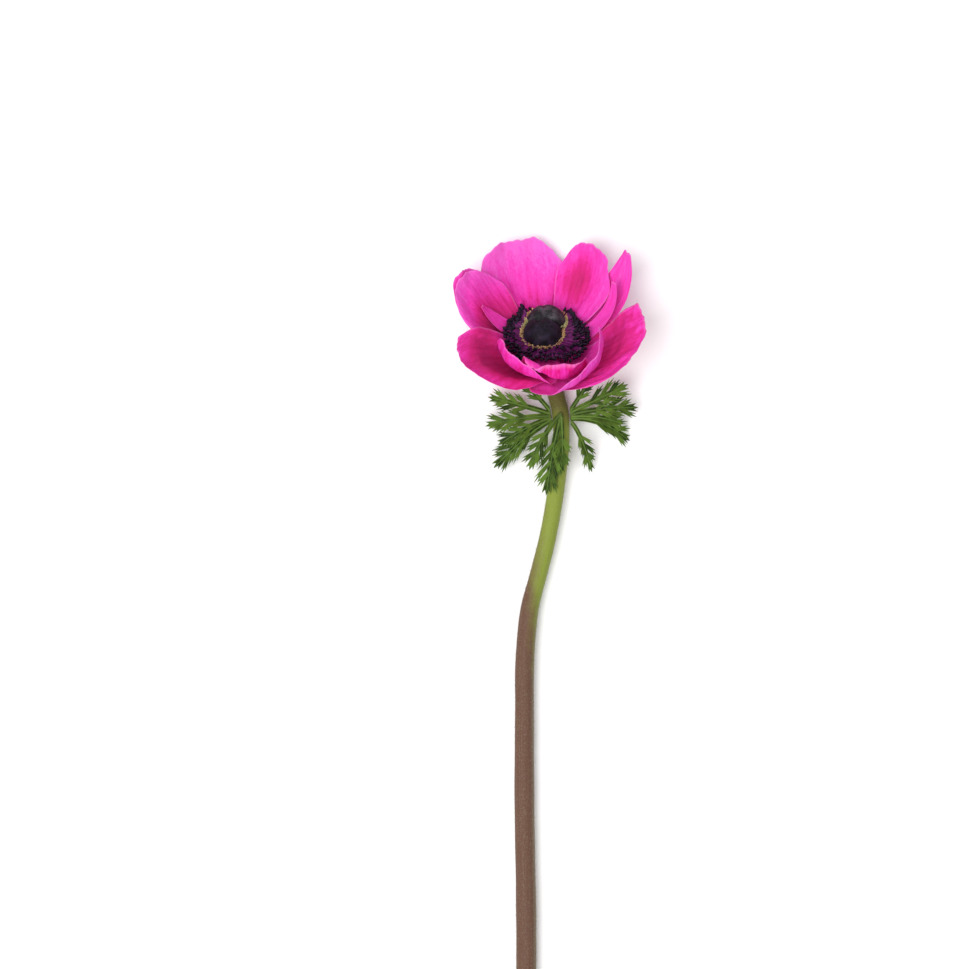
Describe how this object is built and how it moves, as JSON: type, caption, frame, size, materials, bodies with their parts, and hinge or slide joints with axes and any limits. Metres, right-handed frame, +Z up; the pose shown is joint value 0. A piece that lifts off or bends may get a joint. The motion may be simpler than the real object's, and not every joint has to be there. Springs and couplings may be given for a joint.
{
  "type": "cut anemone flower",
  "caption": "Open cup-shaped bloom with rounded petals, a dark lobed centre in a ring of stamens, a collar of deeply cut leaves and a long bare stem, lying down.",
  "frame": {"origin": "middle of the lying flower's box, on the surface that it lies on", "axes": "+Z up from the surface, +Y along the stem from its cut end to the bloom, +X to the right seen from above; the bloom's own axis leans 45 degrees up out of the surface towards +Y"},
  "size_m": [0.0902, 0.4208, 0.0578],
  "materials": {
    "stem": "fresh green stem with fine pale hairs, mauve brown towards the cut end",
    "leaf": "matt mid green with paler ribs",
    "petal": "silky hot pink with fine lengthwise veins and paler backs",
    "stamens": "matt blue-black pollen sacs on purple threads",
    "seed_head": "matt blue-black, finely rough"
  },
  "bodies": {
    "root": {"stem": "stem", "collar_leaf_right": "leaf", "collar_leaf_left": "leaf", "collar_leaf_front": "leaf", "petal_01": "petal", "petal_02": "petal", "petal_03": "petal", "petal_04": "petal", "petal_05": "petal", "petal_06": "petal", "petal_07": "petal", "petal_08": "petal", "petal_09": "petal", "petal_10": "petal", "petal_11": "petal", "petal_12": "petal", "stamens": "stamens", "seed_head": "seed_head"}
  },
  "joints": []
}
